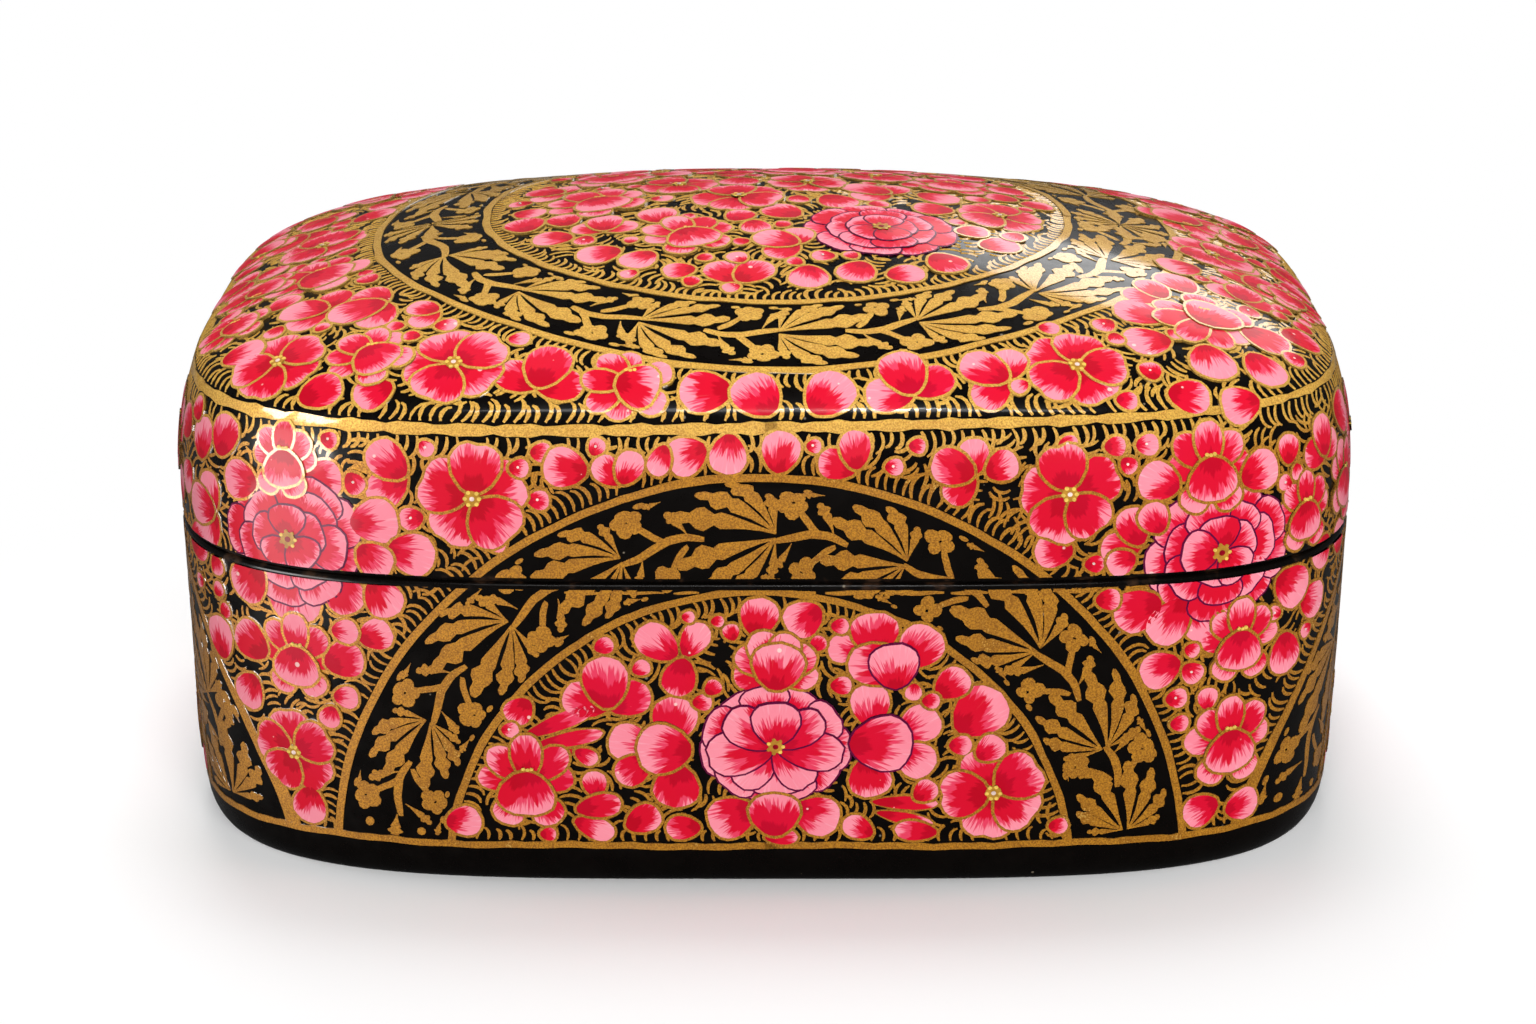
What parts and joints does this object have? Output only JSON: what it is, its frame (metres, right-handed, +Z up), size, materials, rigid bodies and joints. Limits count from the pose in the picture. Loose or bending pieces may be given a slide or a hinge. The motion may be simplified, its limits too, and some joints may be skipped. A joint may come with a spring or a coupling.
{
  "type": "papier mache box",
  "caption": "Oblong box with rounded corners, a domed lift-off lid and painted flowers and gold bands, for small things such as jewellery.",
  "frame": {"origin": "centre of the flat underside, which the box rests on", "axes": "+X along the length, -Y towards the front, +Z up, which is the way the lid lifts off"},
  "size_m": [0.15, 0.105, 0.0751],
  "materials": {
    "painted_base": "moulded paper pulp with black ground, painted crimson and pink flowers, gold paint and clear gloss lacquer",
    "painted_lid": "moulded paper pulp with black ground, painted crimson and pink flowers, gold paint and clear gloss lacquer",
    "collar_board": "laminated paper board, black lacquer rubbed thin along its top edge",
    "black_lining": "pasted paper with satin black lacquer"
  },
  "bodies": {
    "base": {"base_shell": "painted_base", "base_wall_lining": "black_lining", "base_floor_lining": "black_lining", "collar": "collar_board"},
    "lid": {"lid_shell": "painted_lid", "lid_wall_lining": "black_lining", "lid_crown_lining": "black_lining"}
  },
  "joints": [
    {"name": "lid_lift", "type": "slide", "parent": "base", "child": "lid", "axis": [0, 0, 1], "range_m": [0, 0.055]}
  ]
}
